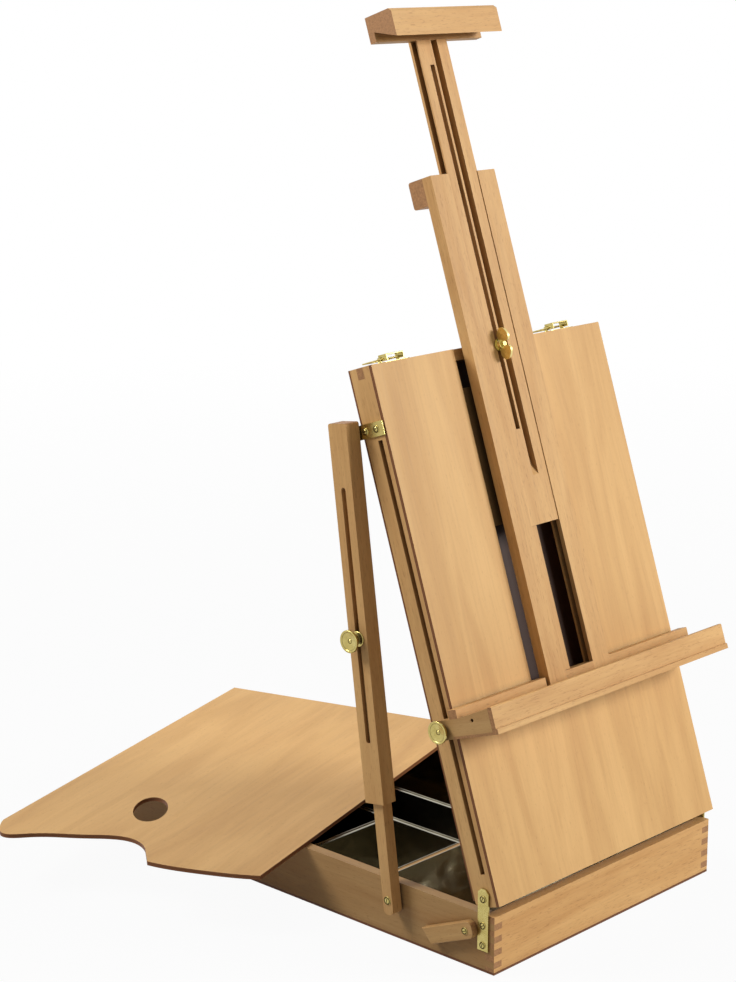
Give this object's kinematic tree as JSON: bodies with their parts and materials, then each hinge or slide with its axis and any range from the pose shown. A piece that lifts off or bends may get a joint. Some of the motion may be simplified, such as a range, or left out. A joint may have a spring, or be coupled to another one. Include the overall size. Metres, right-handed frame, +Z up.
{
  "type": "table box easel",
  "caption": "Wooden table easel whose shallow paint box opens into a leaning panel with a sliding mast, canvas shelf, telescopic side strut and loose palette.",
  "frame": {"origin": "centre of the box's underside", "axes": "+Z up, +X to the painter's right along the box's width, +Y from the painter towards the back"},
  "size_m": [0.6685, 0.7832, 1.0306],
  "materials": {
    "beech": "satin",
    "plywood": "satin",
    "brass": "polished",
    "tinplate": "polished"
  },
  "bodies": {
    "box": {"box_bottom": "plywood", "box_front_wall": "beech", "box_back_wall": "beech", "box_left_wall": "beech", "box_right_wall": "beech", "front_divider": "beech", "left_divider": "beech", "right_divider": "beech", "short_divider": "beech", "tray_liner_front": "tinplate", "tray_liner_left_front": "tinplate", "tray_liner_left_rear": "tinplate", "tray_liner_middle": "tinplate", "tray_liner_right": "tinplate", "hinge_plates": "brass", "box_screws": "brass", "latch_keepers": "brass"},
    "lid": {"lid_left_rail": "beech", "lid_right_rail": "beech", "lid_bottom_rail": "beech", "lid_top_rail": "beech", "lid_plywood": "plywood", "lid_back_panel": "plywood", "lid_screws": "brass", "mast_guides": "beech", "strut_strap": "brass", "latch_bases": "brass", "wing_bolt": "brass"},
    "strut_upper_arm": {"strut_upper": "beech"},
    "strut_lower_arm": {"strut_lower": "beech", "strut_bolt": "brass", "strut_pivot_screw": "brass"},
    "strut_clamp": {"strut_knob": "brass"},
    "shelf": {"shelf_board": "beech", "shelf_front_lip": "beech", "shelf_back_bars": "beech", "shelf_left_arm": "beech", "shelf_right_arm": "beech", "shelf_clamp_bolts": "brass"},
    "shelf_clamp_left": {"shelf_knob_left": "brass"},
    "shelf_clamp_right": {"shelf_knob_right": "brass"},
    "lower_mast": {"mast_left_rail": "beech", "mast_right_rail": "beech", "mast_foot_block": "beech", "mast_heel": "beech", "mast_runner": "beech"},
    "upper_mast": {"upper_mast_left_strip": "beech", "upper_mast_right_strip": "beech", "upper_mast_blocks": "beech", "head_block": "beech", "head_strip": "beech", "head_screws": "brass"},
    "mast_clamp": {"wing_nut": "brass", "wing_washer": "brass"},
    "lever_left": {"latch_lever_left": "brass"},
    "bail_left": {"latch_bail_left": "brass"},
    "lever_right": {"latch_lever_right": "brass"},
    "bail_right": {"latch_bail_right": "brass"},
    "side_button": {"turn_button": "beech"},
    "paint_palette": {"palette": "plywood"}
  },
  "joints": [
    {"name": "lid_tilt", "type": "hinge", "parent": "box", "child": "lid", "pos_m": [0, -0.29, 0.086], "axis": [-1, 0, 0], "range_deg": [-18.5, 45]},
    {"name": "strut_swing", "type": "hinge", "parent": "lid", "child": "strut_upper_arm", "pos_m": [-0.2, -0.09228, 0.57451], "axis": [-1, 0, 0], "range_deg": [-2, 4]},
    {"name": "strut_slide", "type": "slide", "parent": "strut_upper_arm", "child": "strut_lower_arm", "axis": [0, 0.1327, 0.9912], "range_m": [-0.05, 0.105]},
    {"name": "strut_knob_turn", "type": "hinge", "parent": "strut_lower_arm", "child": "strut_clamp", "pos_m": [-0.2235, -0.12204, 0.35212], "axis": [-1, 0, 0], "continuous": true},
    {"name": "shelf_slide", "type": "slide", "parent": "lid", "child": "shelf", "axis": [0, 0.3173, 0.9483], "range_m": [-0.15, 0.3]},
    {"name": "shelf_knob_left_turn", "type": "hinge", "parent": "shelf", "child": "shelf_clamp_left", "pos_m": [-0.2113, -0.23524, 0.26856], "axis": [-1, 0, 0], "continuous": true},
    {"name": "shelf_knob_right_turn", "type": "hinge", "parent": "shelf", "child": "shelf_clamp_right", "pos_m": [0.2113, -0.23524, 0.26856], "axis": [1, 0, 0], "continuous": true},
    {"name": "mast_slide", "type": "slide", "parent": "lid", "child": "lower_mast", "axis": [0, 0.3173, 0.9483], "range_m": [-0.15, 0.024]},
    {"name": "mast_extension", "type": "slide", "parent": "lower_mast", "child": "upper_mast", "axis": [0, 0.3173, 0.9483], "range_m": [-0.148, 0.07]},
    {"name": "wing_nut_turn", "type": "hinge", "parent": "lid", "child": "mast_clamp", "pos_m": [-0.0078, -0.12113, 0.65059], "axis": [0, -0.9483, 0.3173], "continuous": true},
    {"name": "latch_left_lever", "type": "hinge", "parent": "lid", "child": "lever_left", "pos_m": [-0.145, -0.0944, 0.65325], "axis": [-1, 0, 0], "range_deg": [0, 120]},
    {"name": "latch_left_bail", "type": "hinge", "parent": "lever_left", "child": "bail_left", "pos_m": [-0.145, -0.09867, 0.65468], "axis": [-1, 0, 0], "range_deg": [-120, 0]},
    {"name": "latch_right_lever", "type": "hinge", "parent": "lid", "child": "lever_right", "pos_m": [0.145, -0.0944, 0.65325], "axis": [-1, 0, 0], "range_deg": [0, 120]},
    {"name": "latch_right_bail", "type": "hinge", "parent": "lever_right", "child": "bail_right", "pos_m": [0.145, -0.09867, 0.65468], "axis": [-1, 0, 0], "range_deg": [-120, 0]},
    {"name": "button_turn", "type": "hinge", "parent": "box", "child": "side_button", "pos_m": [-0.204, -0.2708, 0.0458], "axis": [1, 0, 0], "range_deg": [0, 95]},
    {"name": "palette_lift", "type": "slide", "parent": "box", "child": "paint_palette", "axis": [0, 0, 1], "range_m": [0, 0.035]}
  ],
  "couplings": [
    {"joint": "strut_swing", "follows": "lid_tilt", "ratio": 0.02},
    {"joint": "strut_slide", "follows": "lid_tilt", "m_per_rad": 0.126},
    {"joint": "latch_left_bail", "follows": "latch_left_lever", "ratio": -1},
    {"joint": "latch_right_bail", "follows": "latch_right_lever", "ratio": -1}
  ]
}
